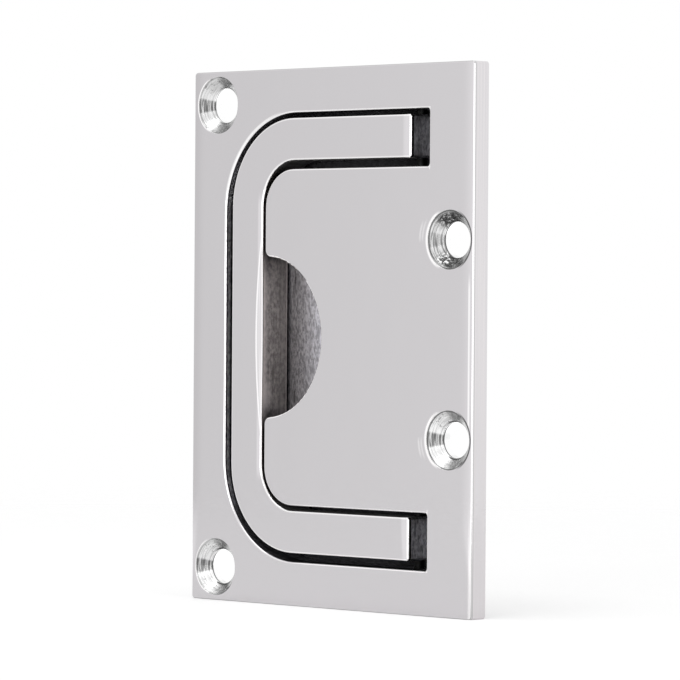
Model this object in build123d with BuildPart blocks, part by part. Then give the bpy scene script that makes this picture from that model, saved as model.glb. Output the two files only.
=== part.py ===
"""Flush lift pull: a cast plate with a C-shaped handle that swings out of a channel in its face.

Millimetres. X runs from the bail side to the hinge side, Z is up along the plate, and -Y points out of
the front face. The origin is the centre of the plate on its back face, which lies against the door.
"""

import os
from math import atan2, cos, hypot, sin

from build123d import *

# Face plate
plate_width = 56.0
plate_height = 76.0
plate_thickness = 3.0
plate_edge_round = 0.2
plate_back_bevel = 0.2
plate_corner_round = 0.5

# Rims left between the plate's edges and the channel
bail_rim = 6.75
hinge_rim = 8.55
side_rim = 6.2

# Handle bar, which lies a little below the face and a little up its pins
arm_width = 6.0
bail_width = 6.25
handle_inner_radius = 6.5
handle_edge_round = 0.2
handle_under_bevel = 0.3
handle_sink = 0.1
end_play_shift = 0.25

# Finger facet ground on the bail's inner front edge, widest at the middle
facet_width = 1.3
facet_drop = 0.2
facet_setback = 3.8

# Hinge pins and the heel that turns on them
pin_diameter = 1.5
pin_cover = 0.15
pin_end_chamfer = 0.2
heel_wall = 0.7

# Clearances
arm_gap = 1.0
bail_outer_gap = 1.25
bail_inner_gap = 0.7
floor_gap = 0.15
swing_gap = 1.05
pin_running_gap = 0.05

# Cast channel, trough and finger recess
trough_wall = 2.0
trough_floor = 2.0
trough_edge_bevel = 0.8
channel_corner_ease = 0.7
channel_end_radius = 0.5
mouth_round = 0.25
recess_radius = 11.45
recess_lip_radius = 1.0

# Countersunk screw holes
screw_hole_diameter = 5.0
countersink_diameter = 8.2
countersink_angle = 90.0
bail_screw_from_side = 5.0
bail_screw_from_end = 4.8
hinge_screw_from_side = 4.6
hinge_screw_spacing = 27.4

# Channel in the plane of the face
channel_left = bail_rim - plate_width / 2
channel_right = plate_width / 2 - hinge_rim
channel_half = plate_height / 2 - side_rim
island_left = channel_left + bail_outer_gap + bail_width + bail_inner_gap
island_half = channel_half - arm_width - 2 * arm_gap

# Depths, measured from the front face
pin_depth = plate_thickness + pin_cover + pin_diameter / 2
heel_radius = pin_diameter / 2 + pin_running_gap + heel_wall
bar_thickness = pin_depth + heel_radius - handle_sink
channel_depth = pin_depth + heel_radius + floor_gap
trough_depth = channel_depth + trough_floor

# Hinge: the square front corner of the heel swings just clear of the channel's end
corner_reach = hypot(heel_radius, pin_depth - handle_sink)
pin_x = channel_right - swing_gap - corner_reach
pin_y = pin_depth - plate_thickness
pin_length = arm_width + 2 * arm_gap + 2 * trough_wall
pin_middle = channel_half - arm_gap - arm_width / 2

# Handle in the plane of the face
handle_left = channel_left + bail_outer_gap
handle_right = pin_x + heel_radius
bail_inner_edge = handle_left + bail_width
handle_half = channel_half - arm_gap
handle_outer_radius = handle_inner_radius + arm_width

# Planes parallel to the face, seen from the front
back_face = Plane.XZ
front_face = Plane.XZ.offset(plate_thickness)
handle_face = Plane.XZ.offset(plate_thickness - handle_sink).move(Pos(Y=end_play_shift))


def c_shape(left, right, outer_half, inner_left, inner_half, outer_radius, inner_radius, end_radius=0.0):
    """Adds a C that is open towards +X, with rounded corners, to the current sketch."""
    end, outer, inner = end_radius, outer_radius, inner_radius
    with BuildLine() as outline:
        FilletPolyline(
            (right, outer_half),
            (left, outer_half),
            (left, -outer_half),
            (right, -outer_half),
            (right, -inner_half),
            (inner_left, -inner_half),
            (inner_left, inner_half),
            (right, inner_half),
            radius=[end, outer, outer, end, end, inner, inner, end],
            close=True,
        )
    make_face(outline.edges())


def face_opening():
    """Adds the channel and the half-round finger recess beside it to the current sketch."""
    c_shape(
        channel_left,
        channel_right,
        channel_half,
        island_left,
        island_half,
        handle_outer_radius + arm_gap + channel_corner_ease,
        handle_inner_radius - arm_gap,
        channel_end_radius,
    )
    with BuildLine() as half_round:
        CenterArc((island_left, 0), recess_radius, -90, 180)
        Line((island_left, -recess_radius), (island_left, recess_radius))
    make_face(half_round.edges())


def recess_corners(sketch):
    """The two corners of the sketch where the finger recess breaks into the channel."""
    return sketch.vertices().sort_by(lambda v: abs(hypot(v.X - island_left, v.Y) - recess_radius))[:2]


def hinge_pin(middle):
    """A short straight pin along Z, with broken ends."""
    with BuildPart() as pin:
        with Locations((pin_x, pin_y, middle)):
            Cylinder(pin_diameter / 2, pin_length)
        chamfer(pin.edges().filter_by(GeomType.CIRCLE), pin_end_chamfer)
    return pin


with BuildPart() as mounting_plate:
    with BuildSketch(back_face):
        Rectangle(plate_width, plate_height)
    extrude(amount=plate_thickness)
    fillet(mounting_plate.edges().filter_by(Axis.Y), plate_corner_round)
    fillet(mounting_plate.faces().sort_by(Axis.Y)[0].edges(), plate_edge_round)
    chamfer(mounting_plate.faces().sort_by(Axis.Y)[-1].edges(), plate_back_bevel)

    # Trough behind the plate, one wall larger all round than the opening in the face
    with BuildSketch(back_face) as trough:
        face_opening()
        offset(amount=trough_wall)
    extrude(amount=plate_thickness - trough_depth)
    chamfer(mounting_plate.faces().sort_by(Axis.Y)[-1].edges(), trough_edge_bevel)

    # Channel and finger recess, sunk from the front
    with BuildSketch(front_face) as opening:
        face_opening()
        fillet(recess_corners(opening), recess_lip_radius)
    extrude(amount=-channel_depth, mode=Mode.SUBTRACT)
    mouth = mounting_plate.faces().sort_by(Axis.Y)[0].inner_wires()[0]
    fillet(mouth.edges(), mouth_round)

    # Screw holes: the bail pair in the corners, the hinge pair closer together
    bail_screw_x = bail_screw_from_side - plate_width / 2
    hinge_screw_x = plate_width / 2 - hinge_screw_from_side
    screw_rows = [
        (bail_screw_x, plate_height / 2 - bail_screw_from_end),
        (hinge_screw_x, hinge_screw_spacing / 2),
    ]
    with Locations(front_face):
        with Locations([(x, side * z) for x, z in screw_rows for side in (1, -1)]):
            CounterSinkHole(
                screw_hole_diameter / 2,
                countersink_diameter / 2,
                counter_sink_angle=countersink_angle,
            )

    # Bores for the hinge pins, through both walls of each trough arm
    with Locations((pin_x, pin_y, pin_middle), (pin_x, pin_y, -pin_middle)):
        Cylinder(pin_diameter / 2, pin_length, mode=Mode.SUBTRACT)

with BuildPart() as lift_handle:
    with BuildSketch(handle_face):
        c_shape(
            handle_left,
            handle_right,
            handle_half,
            bail_inner_edge,
            handle_half - arm_width,
            handle_outer_radius,
            handle_inner_radius,
        )
    extrude(amount=-bar_thickness)

    # Each arm's lower end is rounded about its pin, and its upper end stays square
    arm_ends = lift_handle.faces().filter_by(Axis.X).sort_by(Axis.X)[-2:]
    heels = [end.edges().sort_by(Axis.Y)[-1] for end in arm_ends]
    fillet(heels, heel_radius)

    # The underside is bevelled, round the heels and up the arm ends, and the front edge is rounded
    underside = lift_handle.faces().sort_by(Axis.Y)[-1]
    heel_starts = underside.edges().filter_by(Axis.Z).sort_by(Axis.X)[-2:]
    heel_arcs = lift_handle.edges().filter_by(GeomType.CIRCLE).filter_by(Plane.XY)
    end_edges = lift_handle.edges().filter_by(Axis.Y).group_by(Axis.X)[-1]
    chamfer(underside.edges() - heel_starts + heel_arcs + end_edges, handle_under_bevel)
    fillet(lift_handle.faces().sort_by(Axis.Y)[0].edges(), handle_edge_round)

    # Running bores for the pins
    with Locations((pin_x, pin_y, 0)):
        Cylinder(pin_diameter / 2 + pin_running_gap, plate_height, mode=Mode.SUBTRACT)

    # Finger facet: a shallow arc swept down the facet's slope across the bail's inner front edge
    facet_half = handle_half - handle_outer_radius - facet_setback
    slope = atan2(facet_drop, facet_width)
    facet_depth = facet_width * sin(slope)
    rounding_depth = handle_edge_round * (sin(slope) + cos(slope) - 1)
    bail_edge = Vector(bail_inner_edge, handle_face.origin.Y, end_play_shift)
    downhill = Vector(cos(slope), sin(slope), 0)
    with BuildSketch(Plane(bail_edge, x_dir=(sin(slope), -cos(slope), 0), z_dir=downhill)):
        with BuildLine():
            ThreePointArc((-rounding_depth, -facet_half), (-facet_depth, 0), (-rounding_depth, facet_half))
            Polyline(
                (-rounding_depth, facet_half),
                (facet_width, facet_half),
                (facet_width, -facet_half),
                (-rounding_depth, -facet_half),
            )
        make_face()
    extrude(amount=2 * facet_width, both=True, mode=Mode.SUBTRACT)

mounting_plate.part.label = "mounting_plate"
lift_handle.part.label = "lift_handle"

os.makedirs("parts", exist_ok=True)
export_step(mounting_plate.part, "parts/mounting_plate.step")
export_step(lift_handle.part, "parts/lift_handle.step")
for name, middle in (("upper_hinge_pin", pin_middle), ("lower_hinge_pin", -pin_middle)):
    pin = hinge_pin(middle)
    pin.part.label = name
    export_step(pin.part, f"parts/{name}.step")
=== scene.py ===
"""Looks of the flush lift pull: polished, turned and as-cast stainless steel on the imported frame."""

from math import cos, radians, sin
from types import SimpleNamespace

import bmesh
import bpy
from mathutils import Matrix, Vector


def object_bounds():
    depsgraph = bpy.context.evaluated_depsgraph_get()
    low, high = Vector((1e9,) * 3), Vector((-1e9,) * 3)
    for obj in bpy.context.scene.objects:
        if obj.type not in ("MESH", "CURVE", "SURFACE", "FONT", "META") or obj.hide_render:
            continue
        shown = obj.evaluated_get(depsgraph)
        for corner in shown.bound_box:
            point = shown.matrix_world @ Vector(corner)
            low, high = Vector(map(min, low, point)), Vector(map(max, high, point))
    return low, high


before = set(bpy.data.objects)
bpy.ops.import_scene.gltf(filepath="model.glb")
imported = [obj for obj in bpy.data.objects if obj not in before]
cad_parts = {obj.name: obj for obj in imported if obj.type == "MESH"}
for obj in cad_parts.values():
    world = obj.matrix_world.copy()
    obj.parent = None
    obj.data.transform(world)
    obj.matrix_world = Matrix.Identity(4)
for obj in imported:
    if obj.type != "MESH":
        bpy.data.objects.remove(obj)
cad_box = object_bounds()
scene = bpy.context.scene

# Sizes in millimetres that the materials follow, as in the solids
PLATE_FRONT = -3.0
PLATE_HALF_WIDTH = 28.0
PLATE_HALF_HEIGHT = 38.0
SCREW_BAIL = (-23.0, 33.2)
SCREW_HINGE = (23.4, 13.7)
SCREW_HOLE_RADIUS = 2.5
COUNTERSINK_RADIUS = 4.1
COUNTERSINK_END = -1.4
RECESS_X = -13.05
RECESS_RADIUS = 11.45
CHANNEL_END = 19.45
ISLAND_HALF = 23.8
BAR_FRONT = -2.9
BAR_DEPTH = 5.3
BAR_EDGE = 0.2
BAIL_EDGE = -13.75
ARM_END = 15.81
ARM_MIDDLE = 27.8
HANDLE_RISE = 0.25

# Rounded corners of the outlines in the face: centre across, centre up and radius
CHANNEL_OUTER = (-7.05, 17.6, 14.2)
CHANNEL_INNER = (-7.55, 18.3, 5.5)
HANDLE_OUTER = (-7.5, 18.3, 12.5)
HANDLE_INNER = (-7.25, 18.3, 6.5)

# Painted highlight lines beside polished edges: a line's distance from its edge, half width and soft border;
# then the height of the polishing wheel's marks
HIGHLIGHT_LINE = (0.1, 0.06, 0.08)
WHEEL_LINE_HEIGHT = 0.00004

# Directions from +X towards +Y: the grey card that the face mirrors, and the floor's strip below it
CARD = radians(206)
CARD_STRIP = radians(224)

# Linear colours
POLISHED = (0.719, 0.7, 0.717, 1.0)
# Painted highlight colour for the pale lines on polished edges
PAINTED_HIGHLIGHT = (1.0, 0.985, 0.99, 1.0)
# Painted shading of the plate's right edge face: shaded low down, lit towards the top and lit again at the
# foot
PLATE_EDGE_SHADED = (0.7, 0.675, 0.685, 1.0)
PLATE_EDGE_LIT = (0.78, 0.755, 0.765, 1.0)
PLATE_EDGE_FOOT_LIT = (0.825, 0.79, 0.805, 1.0)
CAST_TINT = (1.0, 0.99, 1.07, 1.0)
BELT_TINT = (1.1, 1.0, 0.92, 1.0)


class Tree:
    """The nodes of one material, added and joined by short calls."""

    def __init__(self, owner):
        owner.use_nodes = True
        self.nodes = owner.node_tree.nodes
        self.links = owner.node_tree.links
        self.nodes.clear()

    def feed(self, socket, value):
        if isinstance(value, bpy.types.NodeSocket):
            self.links.new(value, socket)
        else:
            socket.default_value = value

    def add(self, kind, settings=None, **inputs):
        node = self.nodes.new("ShaderNode" + kind)
        for key, value in (settings or {}).items():
            setattr(node, key, value)
        for key, value in inputs.items():
            self.feed(node.inputs[key.replace("_", " ")], value)
        return node

    def math(self, operation, *values):
        node = self.add("Math", {"operation": operation})
        for socket, value in zip(node.inputs, values):
            self.feed(socket, value)
        return node.outputs[0]

    def chain(self, operation, first, *others):
        for other in others:
            first = self.math(operation, first, other)
        return first

    def most(self, *values):
        return self.chain("MAXIMUM", *values)

    def least(self, *values):
        return self.chain("MINIMUM", *values)

    def product(self, *values):
        return self.chain("MULTIPLY", *values)

    def total(self, *values):
        return self.chain("ADD", *values)

    def minus(self, a, b):
        return self.math("SUBTRACT", a, b)

    def inverse(self, value):
        return self.minus(1.0, value)

    def absolute(self, value):
        return self.math("ABSOLUTE", value)

    def ramp(self, value, start, end, low=0.0, high=1.0):
        """A smooth step from low at start to high at end, flat outside them."""
        rising = end > start
        node = self.add("MapRange", {"interpolation_type": "SMOOTHSTEP"})
        first, second = (start, end) if rising else (end, start)
        bottom, top = (low, high) if rising else (high, low)
        for socket, number in zip(node.inputs, (value, first, second, bottom, top)):
            self.feed(socket, number)
        return node.outputs[0]

    def strip(self, value, middle, half, soft):
        """One within half of middle, with soft borders."""
        away = self.absolute(self.minus(value, middle))
        return self.ramp(away, half + soft, half)

    def apart(self, a, b):
        return self.math("SQRT", self.total(self.product(a, a), self.product(b, b)))

    def outside(self, x, up, corner):
        """How far a point lies outside a C's rounded outline."""
        beside = self.most(self.minus(corner[0], x), 0.0)
        above = self.most(self.minus(up, corner[1]), 0.0)
        return self.minus(self.apart(beside, above), corner[2])

    def mix(self, factor, a, b):
        node = self.add("Mix", {"data_type": "FLOAT"})
        for index, value in ((0, factor), (2, a), (3, b)):
            self.feed(node.inputs[index], value)
        return node.outputs[0]

    def blend(self, factor, a, b, mode="MIX"):
        node = self.add("Mix", {"data_type": "RGBA", "blend_type": mode})
        for index, value in ((0, factor), (6, a), (7, b)):
            self.feed(node.inputs[index], value)
        return node.outputs[2]

    def noise(self, vector, scale, detail=2.0, roughness=0.5):
        """Noise of one scale, or of a scale along each axis, in waves per millimetre."""
        if isinstance(scale, tuple):
            drawn_out = self.add("VectorMath", {"operation": "MULTIPLY"})
            self.feed(drawn_out.inputs[0], vector)
            self.feed(drawn_out.inputs[1], scale)
            vector, scale = drawn_out.outputs[0], 1.0
        node = self.add("TexNoise", Vector=vector, Scale=scale, Detail=detail, Roughness=roughness)
        return node.outputs[0]

    def vector(self, x, y, z):
        return self.add("CombineXYZ", X=x, Y=y, Z=z).outputs[0]

    def split(self, vector):
        return self.add("SeparateXYZ", Vector=vector).outputs[:3]

    def place(self):
        """The point in millimetres and the surface's direction, both in the piece's own frame."""
        spot = self.add("TexCoord")
        point = self.add("VectorMath", {"operation": "SCALE"}, Vector=spot.outputs["Object"], Scale=1000.0)
        return point.outputs[0], spot.outputs["Normal"]

    def metal(self, colour, roughness, height):
        """Ends the tree in one steel shader. Height is in millimetres."""
        bump = self.add("Bump", Strength=1.0, Distance=0.001, Height=height)
        steel = self.add(
            "BsdfPrincipled", Base_Color=colour, Metallic=1.0, Roughness=roughness, Normal=bump.outputs[0]
        )
        self.add("OutputMaterial", Surface=steel.outputs[0])


def grey(value, warmth=0.0):
    return (value * (1 + warmth), value, value * (1 - warmth), 1.0)


def plate_place(t):
    """Where a point of the plate lies: in the plate, about the nearest screw hole and from the outlines."""
    point, normal = t.place()
    x, y, z = t.split(point)
    sideways, facing = t.split(normal)[:2]
    up = t.absolute(z)
    hinge_side = t.math("GREATER_THAN", x, 0.0)
    aside = t.minus(x, t.mix(hinge_side, SCREW_BAIL[0], SCREW_HINGE[0]))
    above = t.minus(up, t.mix(hinge_side, SCREW_BAIL[1], SCREW_HINGE[1]))
    reach = t.apart(aside, above)
    return SimpleNamespace(
        point=point,
        x=x,
        y=y,
        z=z,
        across=t.absolute(x),
        up=up,
        sideways=sideways,
        facing=facing,
        hinge_side=hinge_side,
        aside=aside,
        above=above,
        reach=reach,
        turn=t.math("DIVIDE", aside, t.most(reach, 0.1)),
        from_channel=t.most(t.outside(x, up, CHANNEL_OUTER), t.minus(x, CHANNEL_END)),
        from_island=t.product(t.outside(x, up, CHANNEL_INNER), -1.0),
        from_recess=t.minus(t.apart(t.minus(x, RECESS_X), z), RECESS_RADIUS),
    )


def cast_look(t, at):
    """Colour, roughness and height of steel left as it was cast, in the channel and behind the plate, with
    painted shade and light in the channel and recess.
    """
    x, y, z, up = at.x, at.y, at.z, at.up
    sunk = t.minus(y, PLATE_FRONT)
    flat = t.ramp(at.facing, -0.4, -0.6)
    mottle = t.noise(at.point, 0.9, 4.0, 0.6)
    grain = t.noise(at.point, 2.1, 3.0, 0.55)

    # Floor: painted dark shade in the gaps along its sides, lighter under the handle and at the arm ends; in
    # the recess, painted shade towards the bail, lighter towards the top, and two short painted shade lines
    from_axis = t.absolute(t.minus(z, HANDLE_RISE))
    covered = t.product(
        t.ramp(t.outside(x, from_axis, HANDLE_OUTER), -0.5, -1.2),
        t.ramp(t.outside(x, from_axis, HANDLE_INNER), 0.5, 1.2),
        t.ramp(x, ARM_END - 0.6, ARM_END - 1.6),
    )
    recess = t.product(t.ramp(at.from_recess, 0.3, 0.1), t.ramp(x, BAIL_EDGE - 2.8, BAIL_EDGE - 0.4))
    short_shade_lines = t.product(t.strip(x, RECESS_X + 0.5, 0.06, 0.08), t.strip(up, 8.5, 0.7, 0.5))
    recess_level = t.product(
        t.ramp(x, -14.0, -1.0, 0.26, 0.83),
        t.ramp(z, -5.0, 5.0, 0.91, 1.09),
        t.mix(short_shade_lines, 1.0, 0.4),
    )
    arm_end = t.product(t.ramp(x, ARM_END - 0.5, ARM_END), t.strip(up, ARM_MIDDLE, 2.4, 0.8))
    floor_level = t.mix(arm_end, t.ramp(x, 4.0, 12.0, 0.05, 0.025), 0.34)
    floor_level = t.mix(recess, t.mix(covered, floor_level, 0.3), recess_level)

    # Walls: painted shade, darkest by the arms, lighter where they bend, at the arm ends and deeper in, with
    # a painted highlight streak below the mouth on the bail side
    streak = t.product(t.ramp(at.sideways, 0.8, 0.97), t.ramp(sunk, 0.38, 0.5), t.ramp(sunk, 1.15, 0.8))
    bend = t.product(t.ramp(at.sideways, 0.05, 0.35), t.ramp(at.sideways, 0.98, 0.85))
    wall_level = t.mix(bend, t.ramp(x, -16.0, 12.0, 0.068, 0.03), 0.24)
    wall_level = t.mix(arm_end, wall_level, 0.36)
    wall_level = t.mix(t.ramp(y, 0.0, 0.6), t.mix(streak, wall_level, 1.0), 0.43)

    # The grain is finer on the recess's floor than in the channel
    in_recess = t.product(recess, flat)
    fine = t.noise(at.point, (3.4, 1.0, 1.7))
    coarse_tone = t.ramp(t.total(t.product(mottle, 0.4), t.product(grain, 0.6)), 0.35, 0.66)
    tone = t.mix(in_recess, coarse_tone, t.ramp(fine, 0.3, 0.7))
    # Painted shade of the floor and walls, times the cast's tone
    shaded_cast = t.product(t.mix(flat, wall_level, floor_level), t.mix(tone, 0.68, 1.32))
    coarse_height = t.total(t.product(mottle, 0.03), t.product(grain, 0.13))
    hollow_height = t.mix(in_recess, coarse_height, t.product(fine, 0.05))

    # Behind the plate the casting is blasted to an even grey
    opening = t.most(t.ramp(at.from_island, 1.2, 0.8), t.ramp(at.from_recess, 1.2, 0.8))
    inside = t.product(t.ramp(at.from_channel, 1.2, 0.8), opening, t.ramp(y, 3.4, 3.0))
    blasted = t.noise(at.point, 4.0, 3.0, 0.6)
    even = t.product(t.mix(blasted, 0.44, 0.6), t.mix(mottle, 0.85, 1.1))
    tint = t.blend(inside, grey(1.0), CAST_TINT)
    colour = t.blend(1.0, t.mix(inside, even, shaded_cast), tint, "MULTIPLY")
    roughness = t.mix(grain, 0.34, 0.56)
    height = t.mix(inside, t.product(blasted, 0.05), hollow_height)
    return colour, roughness, height


def turned_look(t, at):
    """Colour, roughness and height inside a screw hole: tool rings, painted shade and a painted dark
    reflection, stains, dark lines and a bore painted white as a reflection of the white round it.
    """
    reach, turn = at.reach, at.turn
    ring = t.noise(t.vector(reach, at.aside, at.above), (7.0, 0.3, 0.3), 3.0)
    patch = t.noise(at.point, 1.1, 4.0, 0.65)
    spots = t.noise(at.point, 2.2, 4.0, 0.75)

    # Of the two upper holes, the one on the hinge side is pitted and the other is clean
    upper = t.math("GREATER_THAN", at.z, 0.0)
    pitted = t.product(at.hinge_side, upper)
    clean = t.product(t.inverse(at.hinge_side), upper)
    colour = t.mix(t.ramp(ring, 0.36, 0.6), t.mix(pitted, 0.68, 0.3), t.mix(pitted, 0.96, 0.8))

    # Painted shade on the side away from the bail, a painted dark reflection towards it streaked by the tool
    # rings, and rust in the pitted hole
    far_side_shade = t.ramp(turn, -0.35, 0.4)
    colour = t.mix(far_side_shade, colour, t.mix(t.ramp(patch, 0.4, 0.6), 0.2, 0.5))
    dark_reflection = t.product(t.ramp(turn, -0.945, -0.98), t.ramp(ring, 0.68, 0.42, 0.3, 1.0))
    colour = t.mix(t.product(dark_reflection, t.mix(pitted, 0.95, 0.6)), colour, 0.14)
    rust = t.product(
        t.ramp(spots, 0.43, 0.52),
        t.ramp(turn, -0.95, -0.6),
        t.ramp(reach, COUNTERSINK_RADIUS, COUNTERSINK_RADIUS - 0.5),
        pitted,
    )
    specks = t.product(t.ramp(spots, 0.56, 0.62), t.ramp(turn, -0.95, -0.7), 0.6)
    colour = t.mix(t.most(rust, specks), colour, 0.06)
    colour = t.product(colour, t.mix(clean, 1.0, 0.84))

    # Dark lines at the rim and where the bore starts
    rim_line = t.strip(reach, COUNTERSINK_RADIUS - 0.1, 0.04, 0.06)
    colour = t.mix(t.product(rim_line, t.mix(at.hinge_side, 0.4, 0.85)), colour, 0.13)
    # Deeper in, the bore is painted pure white, a painted reflection of the white round it
    bore = t.ramp(reach, SCREW_HOLE_RADIUS + 0.06, SCREW_HOLE_RADIUS + 0.02)
    bore_depth = t.minus(at.y, COUNTERSINK_END)
    colour = t.mix(t.product(bore, t.ramp(bore_depth, 0.24, 0.34)), colour, 1.0)
    bore_line = t.most(
        t.product(bore, t.strip(bore_depth, 0.22, 0.06, 0.06)),
        t.product(t.strip(reach, SCREW_HOLE_RADIUS + 0.1, 0.06, 0.06), t.ramp(turn, -0.7, -0.3)),
    )
    colour = t.mix(t.product(bore_line, t.mix(clean, 0.92, 0.45)), colour, 0.05)
    roughness = t.mix(bore, t.mix(ring, 0.14, 0.34), 0.12)
    height = t.product(ring, t.inverse(bore), 0.02)
    return colour, roughness, height


def polished_look(t, at, front, rim):
    """Colour, roughness and height of the plate's mirror-polished face and of its outer edge."""
    x, z, facing, reach, turn = at.x, at.z, at.facing, at.reach, at.turn

    # Painted highlight lines on the mouth's rounded edges and on the face beside the channel and the recess
    mouth = t.product(front, t.inverse(rim))
    edge = t.product(mouth, t.ramp(facing, -0.99, -0.95), t.ramp(facing, -0.05, -0.3))
    arms = t.ramp(at.up, ISLAND_HALF - 0.6, ISLAND_HALF - 0.2)
    upper_corner = t.product(t.ramp(z, 18.0, 22.0), t.ramp(x, -9.0, -13.0))
    lower_corner = t.product(t.ramp(z, -16.0, -22.0), t.ramp(x, -4.0, -8.0))
    outlines = t.most(
        t.product(t.strip(at.from_channel, *HIGHLIGHT_LINE), t.most(arms, t.ramp(x, RECESS_X, RECESS_X - 1.0))),
        t.product(t.strip(at.from_channel, 0.1, 0.24, 0.15), upper_corner),
        t.product(t.strip(at.from_island, *HIGHLIGHT_LINE), t.ramp(x, CHANNEL_END + 0.4, CHANNEL_END)),
        t.product(t.strip(at.from_recess, *HIGHLIGHT_LINE), t.ramp(x, RECESS_X - 1.0, RECESS_X)),
    )
    mouth_highlight = t.product(t.most(edge, outlines), t.mix(lower_corner, 1.0, 0.3))

    # Two painted highlight rings and a painted shade crescent just outside the rim, at the holes on the hinge
    # side
    rings = t.most(
        t.product(t.strip(reach, COUNTERSINK_RADIUS + 1.0, 0.06, 0.2), t.ramp(turn, -0.8, -0.95), 0.45),
        t.product(t.strip(reach, COUNTERSINK_RADIUS + 1.5, 0.06, 0.24), t.ramp(turn, -0.86, -0.97), 0.5),
    )
    rings = t.product(rings, at.hinge_side, t.ramp(at.above, -0.6, 0.5))
    shade_crescent_line = t.strip(reach, COUNTERSINK_RADIUS + 0.1, 0.1, 0.06)
    shade_crescent = t.product(shade_crescent_line, t.ramp(turn, 0.3, 0.8), at.hinge_side)

    # Mirror polish: slow waves, faint lines, and a face rolled over by the wheel at the sides and holes
    waves = t.noise(at.point, 0.06)
    lines = t.noise(at.point, (9.0, 9.0, 0.25))
    brink = t.product(t.most(t.minus(at.across, PLATE_HALF_WIDTH - 2.5), 0.0), 0.4)
    roll_side = t.product(brink, brink, brink, 0.1)
    lip_width = t.mix(at.hinge_side, 0.3, 0.55)
    lip = t.math("DIVIDE", t.minus(t.total(lip_width, COUNTERSINK_RADIUS), reach), lip_width)
    lip = t.product(t.most(lip, 0.0), t.ramp(turn, -0.2, -0.8))
    roll_hole = t.product(lip, lip, lip_width, 0.2)
    roughness = t.total(t.product(t.noise(at.point, 0.5, 3.0), 0.03), t.product(lines, 0.02), 0.05)
    height = t.total(
        t.product(waves, 0.05),
        t.product(lines, WHEEL_LINE_HEIGHT),
        t.product(roll_side, -1.0),
        t.product(roll_hole, -1.0),
    )

    # Painted highlight where the face turns over to the right edge, along its middle and low down
    ridge = t.product(t.strip(x, PLATE_HALF_WIDTH - 0.75, 0.1, 0.12), t.strip(z, -2.5, 9.0, 3.0))
    low_arris = t.product(
        t.ramp(x, PLATE_HALF_WIDTH - 0.8, PLATE_HALF_WIDTH - 0.35),
        t.ramp(z, -20.0, -32.0),
        t.ramp(facing, -0.3, -0.6),
    )
    # Painted highlights on the face: the mouth lines, a crescent on each hole's rolled lip, the right edge's
    # ridge and lower arris, and the rings
    pale = t.most(mouth_highlight, t.ramp(lip, 0.1, 0.5), ridge, low_arris, rings)
    colour = t.blend(pale, POLISHED, PAINTED_HIGHLIGHT)
    colour = t.blend(t.product(shade_crescent, 0.9), colour, grey(0.08))

    # The plate's edge: painted shade on the rounded shoulder, streaks along it, painted shading that is
    # darker low down and lighter towards the top and at the foot, and a thin painted shade line behind the
    # arris
    shoulder_shade = t.product(rim, t.ramp(facing, -0.92, -0.8), t.ramp(facing, -0.3, -0.5))
    colour = t.blend(t.product(shoulder_shade, 0.85), colour, grey(0.42))
    edge_face = t.product(rim, t.ramp(facing, -0.45, -0.2))
    foot = t.ramp(z, -21.0, -31.0)
    streaks = t.most(t.ramp(t.noise(at.point, (0.4, 3.0, 0.03), 3.0), 0.3, 0.7), t.product(foot, 0.7))
    edge_shading = t.blend(t.ramp(z, -30.0, 10.0), PLATE_EDGE_SHADED, PLATE_EDGE_LIT)
    edge_shading = t.blend(foot, edge_shading, PLATE_EDGE_FOOT_LIT)
    colour = t.blend(t.product(edge_face, streaks), colour, edge_shading)
    arris_shade_line = t.strip(at.y, PLATE_FRONT + 0.3, 0.05, 0.07)
    colour = t.blend(t.product(edge_face, arris_shade_line), colour, grey(0.56))
    return colour, roughness, height


def plate_steel():
    material = bpy.data.materials.new("polished_plate")
    t = Tree(material)
    at = plate_place(t)
    front = t.ramp(at.y, PLATE_FRONT + 0.22, PLATE_FRONT + 0.12)
    rim = t.most(
        t.ramp(at.across, PLATE_HALF_WIDTH - 0.5, PLATE_HALF_WIDTH - 0.3),
        t.ramp(at.up, PLATE_HALF_HEIGHT - 0.5, PLATE_HALF_HEIGHT - 0.3),
    )
    polished = t.most(front, rim)
    bore = t.ramp(at.reach, SCREW_HOLE_RADIUS + 0.14, SCREW_HOLE_RADIUS + 0.08)
    turned = t.product(
        t.ramp(at.reach, COUNTERSINK_RADIUS + 0.04, COUNTERSINK_RADIUS - 0.02),
        t.most(t.ramp(at.y, -0.2, -0.4), bore),
    )

    cast_colour, cast_rough, cast_height = cast_look(t, at)
    turned_colour, turned_rough, turned_height = turned_look(t, at)
    polish_colour, polish_rough, polish_height = polished_look(t, at, front, rim)
    colour = t.blend(turned, t.blend(polished, cast_colour, polish_colour), turned_colour)
    roughness = t.mix(turned, t.mix(polished, cast_rough, polish_rough), turned_rough)
    height = t.mix(turned, t.mix(polished, cast_height, polish_height), turned_height)
    t.metal(colour, roughness, height)
    return material


def bar_place(t):
    """Where a point of the handle lies at rest: by its axes, from its middle line and below its front."""
    point, normal = t.place()
    x, y, z = t.split(point)
    sideways, facing = t.split(normal)[:2]
    return SimpleNamespace(
        point=point,
        x=x,
        z=z,
        up=t.absolute(z),
        sideways=sideways,
        facing=facing,
        sunk=t.minus(y, BAR_FRONT),
        from_axis=t.absolute(t.minus(z, HANDLE_RISE)),
    )


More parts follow.
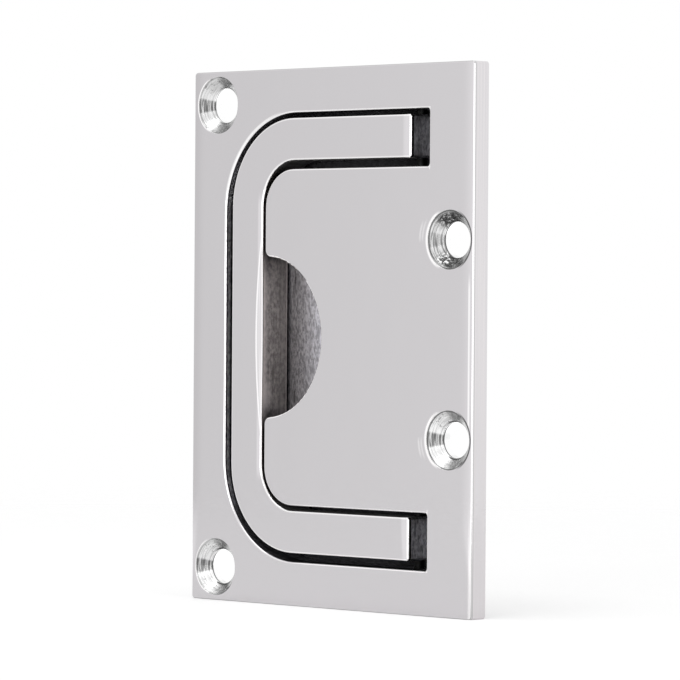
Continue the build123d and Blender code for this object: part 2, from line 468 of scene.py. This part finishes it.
def bar_front_look(t, at, front):
    """Colour, roughness and height of the handle's polished front."""
    x, up = at.x, at.up
    waves = t.noise(at.point, 0.1, 1.0)
    lines = t.noise(at.point, (0.3, 9.0, 0.3))

    # Rolled over by the wheel towards the arm ends and along the bail
    bail_roll = t.product(t.ramp(x, BAIL_EDGE - 1.0, BAIL_EDGE + 0.4), t.ramp(up, 21.0, 18.0))
    roll = t.product(t.most(t.ramp(x, ARM_END - 1.6, ARM_END + 0.6), bail_roll), 0.17)

    # Finger facet between two painted highlight borders, with the grinder's lines along it, which also paint
    # the facet lighter as a highlight
    facet = t.product(t.strip(at.sideways, 0.15, 0.05, 0.03), t.ramp(x, -12.0, -13.0), t.ramp(up, 16.0, 15.0))
    border_highlights = t.most(t.strip(at.sunk, 0.02, 0.01, 0.015), t.ramp(x, BAIL_EDGE - 0.26, BAIL_EDGE - 0.16))
    grind = t.ramp(t.noise(at.point, (5.0, 0.0, 0.05), 1.0), 0.48, 0.62, 0.0, 0.5)
    facet_highlights = t.product(facet, t.most(border_highlights, grind))

    # Painted highlight line round the face
    edge = t.product(t.ramp(at.facing, -0.995, -0.97), front)
    nearest = t.least(
        t.product(t.outside(x, at.from_axis, HANDLE_OUTER), -1.0),
        t.outside(x, at.from_axis, HANDLE_INNER),
        t.minus(ARM_END, x),
    )
    outline = t.product(t.ramp(nearest, 0.32, 0.2), t.ramp(at.facing, -0.98, -0.995))

    colour = t.blend(t.most(edge, facet_highlights, outline), POLISHED, PAINTED_HIGHLIGHT)
    roughness = t.total(t.product(lines, 0.03), 0.05)
    height = t.total(t.product(waves, 0.01), t.product(lines, WHEEL_LINE_HEIGHT), t.product(roll, -1.0))
    return colour, roughness, height


def bar_side_look(t, at):
    """Colour, roughness and height of the bar's sides, which keep the belt's marks along the bar, with
    painted light and shade on the grip's side and the arm ends.
    """
    sunk, from_axis = at.sunk, at.from_axis
    streak = t.noise(at.point, (0.12, 2.4, 0.12), 4.0, 0.6)
    mottle = t.noise(at.point, (1.4, 2.2, 1.4), 5.0, 0.7)
    tone = t.total(t.product(streak, 0.3), t.product(mottle, 0.7))
    arm_end = t.ramp(at.x, ARM_END - 0.5, ARM_END - 0.1)
    gripped = t.product(t.ramp(at.sideways, 0.3, 0.8), t.ramp(at.x, -10.0, -12.0))
    # The grip's side and the arm ends carry painted light and shade
    shaded_sides = t.most(gripped, arm_end)

    # Painted shade towards both ends of the grip, painted light on the arm ends, more on the lower arm, and
    # stains on the arm ends
    arm_end_lighting = t.ramp(at.z, 5.0, -5.0, 1.66, 2.1)
    level = t.product(t.mix(t.ramp(tone, 0.38, 0.62), 0.23, 0.55), t.mix(arm_end, 1.0, arm_end_lighting))
    grip_end_shade = t.total(
        t.product(t.ramp(from_axis, 9.8, 11.4), 0.55),
        t.product(t.ramp(from_axis, 12.5, 15.0), 0.2),
    )
    level = t.product(level, t.inverse(t.product(gripped, grip_end_shade)))
    stain = t.ramp(t.noise(at.point, (1.0, 1.6, 0.45), 4.0, 0.65), 0.48, 0.64)
    level = t.mix(t.product(arm_end, stain, 0.7), level, 0.3)

    # Painted light near the front, painted shade low down, and lighter in two bands on the grip
    level = t.mix(t.product(t.ramp(sunk, 1.3, 0.2), 0.7), level, 0.95)
    level = t.mix(t.product(t.ramp(sunk, 1.5, 4.6), t.mix(arm_end, 0.4, 0.1)), level, 0.24)
    lighter_bands = t.most(t.strip(at.z, -8.2, 0.9, 1.8), t.product(t.strip(at.z, 6.8, 1.0, 2.0), 0.45))
    level = t.mix(t.product(lighter_bands, gripped, t.ramp(sunk, 2.4, 0.9), 0.5), level, 0.95)

    # A painted highlight line along the bottom, and painted shadow lines behind the rounded front edge
    bottom_highlight = t.strip(sunk, BAR_DEPTH - 0.38, 0.08, 0.1)
    level = t.mix(t.product(bottom_highlight, 0.5), level, 0.7)
    front_shadow_line = t.strip(sunk, BAR_EDGE + 0.08, 0.04, 0.06)
    level = t.mix(t.product(front_shadow_line, 0.85), level, 0.06)
    end_shadow_line = t.strip(sunk, BAR_EDGE + 0.2, 0.15, 0.15)
    level = t.mix(t.product(end_shadow_line, arm_end), level, 0.04)

    # The other sides are satin
    level = t.mix(shaded_sides, t.mix(t.ramp(tone, 0.3, 0.7), 0.66, 0.78), level)
    colour = t.blend(1.0, level, t.blend(gripped, grey(1.0, 0.01), BELT_TINT), "MULTIPLY")
    roughness = t.mix(shaded_sides, t.mix(tone, 0.36, 0.48), t.mix(tone, 0.28, 0.45))
    marks = t.total(t.product(streak, 0.01), t.product(mottle, 0.03))
    height = t.product(marks, t.mix(shaded_sides, 0.3, 1.0))
    return colour, roughness, height


def handle_steel():
    material = bpy.data.materials.new("polished_handle")
    t = Tree(material)
    at = bar_place(t)
    front = t.ramp(at.facing, -0.1, -0.35)
    front_colour, front_rough, front_height = bar_front_look(t, at, front)
    side_colour, side_rough, side_height = bar_side_look(t, at)
    colour = t.blend(front, side_colour, front_colour)
    roughness = t.mix(front, side_rough, front_rough)
    height = t.mix(front, side_height, front_height)
    t.metal(colour, roughness, height)
    return material


def pin_steel():
    """Drawn steel, clean where the pin is held in the walls and painted nearly black with shade in the
    channel.
    """
    material = bpy.data.materials.new("pin_steel")
    t = Tree(material)
    point = t.place()[0]
    up = t.absolute(t.split(point)[2])
    drawn = t.noise(point, (6.0, 6.0, 0.3), 3.0)
    patch = t.noise(point, 1.5, 3.0)
    clean = t.most(
        t.ramp(up, ISLAND_HALF - 0.9, ISLAND_HALF - 1.4),
        t.ramp(up, ARM_MIDDLE + 4.9, ARM_MIDDLE + 5.4),
    )
    # Painted shade in the channel, nearly black
    shaded_in_channel = t.blend(t.ramp(patch, 0.35, 0.7), grey(0.008), grey(0.016))
    colour = t.blend(clean, shaded_in_channel, t.blend(patch, grey(0.5), grey(0.6)))
    t.metal(colour, t.mix(drawn, 0.35, 0.5), t.product(drawn, 0.006))
    return material


def dress(name, material):
    """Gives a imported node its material. Each face of the solid is shaded smooth in itself."""
    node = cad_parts[name]
    node.data.materials.clear()
    node.data.materials.append(material)
    for polygon in node.data.polygons:
        polygon.use_smooth = True


def shown_to(t):
    """One for rays from the camera, from a mirror or through glass, and nought for the rest."""
    path = t.add("LightPath").outputs
    return t.most(path["Is Camera Ray"], path["Is Glossy Ray"], path["Is Transmission Ray"])


def studio_world():
    """White all round, with a pale grey card off to the left for the polished face to reflect."""
    world = bpy.data.worlds.new("studio")
    scene.world = world
    t = Tree(world)
    towards = t.add("VectorMath", {"operation": "DOT_PRODUCT"})
    t.feed(towards.inputs[0], t.add("TexCoord").outputs["Generated"])
    t.feed(towards.inputs[1], (cos(CARD), sin(CARD), 0.0))
    angle = t.math("ARCCOSINE", towards.outputs["Value"])
    mirrored = t.ramp(angle, radians(8), radians(34), 0.745, 1.0)
    glossy = t.add("LightPath").outputs["Is Glossy Ray"]
    strength = t.mix(shown_to(t), 0.6, t.mix(glossy, 1.0, mirrored))
    light = t.add("Background", Color=grey(1.0), Strength=strength)
    t.add("OutputWorld", Surface=light.outputs[0])


def studio_floor():
    """A pale round floor under the plate's lower edge, which fades into the white round it."""
    floor = bpy.data.objects.new("floor", bpy.data.meshes.new("floor"))
    disc = bmesh.new()
    bmesh.ops.create_circle(disc, cap_ends=True, segments=96, radius=0.5)
    bmesh.ops.translate(disc, verts=disc.verts, vec=(0.0, 0.0, cad_box[0].z))
    disc.to_mesh(floor.data)
    disc.free()
    scene.collection.objects.link(floor)

    material = bpy.data.materials.new("pale_floor")
    t = Tree(material)
    point = t.place()[0]
    x, y = t.split(point)[:2]
    paper = t.add("BsdfDiffuse", Color=t.blend(t.noise(point, 0.2, 3.0), grey(0.8), grey(0.82)))

    # In mirrors, a strip before the plate stays greyer, as the card does, and the part behind it is whiter
    glossy = t.add("LightPath").outputs["Is Glossy Ray"]
    along = t.total(x, t.product(t.minus(PLATE_FRONT, y), cos(CARD_STRIP) / sin(CARD_STRIP)))
    greyer = t.product(t.strip(along, 0.0, 45.0, 20.0), glossy)
    whiter = t.product(t.ramp(y, 0.5, 5.0), t.ramp(t.minus(x, y), 15.0, 0.0), glossy)
    level = t.mix(whiter, t.mix(greyer, 0.34, 0.16), 0.7)
    glow = t.add("Emission", Color=grey(1.0), Strength=t.product(shown_to(t), level))
    lit = t.add("AddShader")
    t.feed(lit.inputs[0], paper.outputs[0])
    t.feed(lit.inputs[1], glow.outputs[0])

    faded = t.add("MixShader", Fac=t.product(t.ramp(t.apart(x, y), 90.0, 400.0), shown_to(t)))
    t.feed(faded.inputs[1], lit.outputs[0])
    t.feed(faded.inputs[2], t.add("BsdfTransparent").outputs[0])
    t.add("OutputMaterial", Surface=faded.outputs[0])
    floor.data.materials.append(material)


def softbox(name, azimuth, distance, height, side, power):
    """A square soft lamp that faces the object, in metres. Azimuth is in degrees from +X towards +Y."""
    lamp = bpy.data.lights.new(name, "AREA")
    lamp.shape = "RECTANGLE"
    lamp.size, lamp.size_y = side, side
    lamp.energy = power
    box = bpy.data.objects.new(name, lamp)
    turn = radians(azimuth)
    box.location = (distance * cos(turn), distance * sin(turn), height)
    box.rotation_euler = (-box.location).to_track_quat("-Z", "Y").to_euler()
    box.visible_camera = False
    scene.collection.objects.link(box)


def photo_camera():
    """The camera fitted to the photograph: nearly level, about 45 degrees off the face."""
    look = Vector((-0.7131, 0.7009, -0.0109)).normalized()
    right = look.cross(Vector((-0.0125, 0.0027, 0.9999))).normalized()
    up = right.cross(look)
    turned = Matrix((right, up, -look)).transposed().to_4x4()
    lens = bpy.data.cameras.new("camera")
    lens.lens = 233.23
    lens.sensor_width = 36.0
    lens.clip_start, lens.clip_end = 0.01, 50.0
    camera = bpy.data.objects.new("camera", lens)
    camera.matrix_world = Matrix.Translation((0.4416, -0.4348, 0.00646)) @ turned
    scene.collection.objects.link(camera)
    scene.camera = camera


dress("mounting_plate", plate_steel())
dress("lift_handle", handle_steel())
pin_material = pin_steel()
dress("upper_hinge_pin", pin_material)
dress("lower_hinge_pin", pin_material)

studio_world()
studio_floor()
softbox("front_softbox", azimuth=-75, distance=1.1, height=0.15, side=0.7, power=2.8)
softbox("side_softbox", azimuth=-5, distance=1.1, height=0.15, side=0.7, power=2.8)
softbox("top_softbox", azimuth=-90, distance=0.2, height=1.2, side=0.9, power=3.3)
photo_camera()
scene.view_settings.view_transform = "Standard"
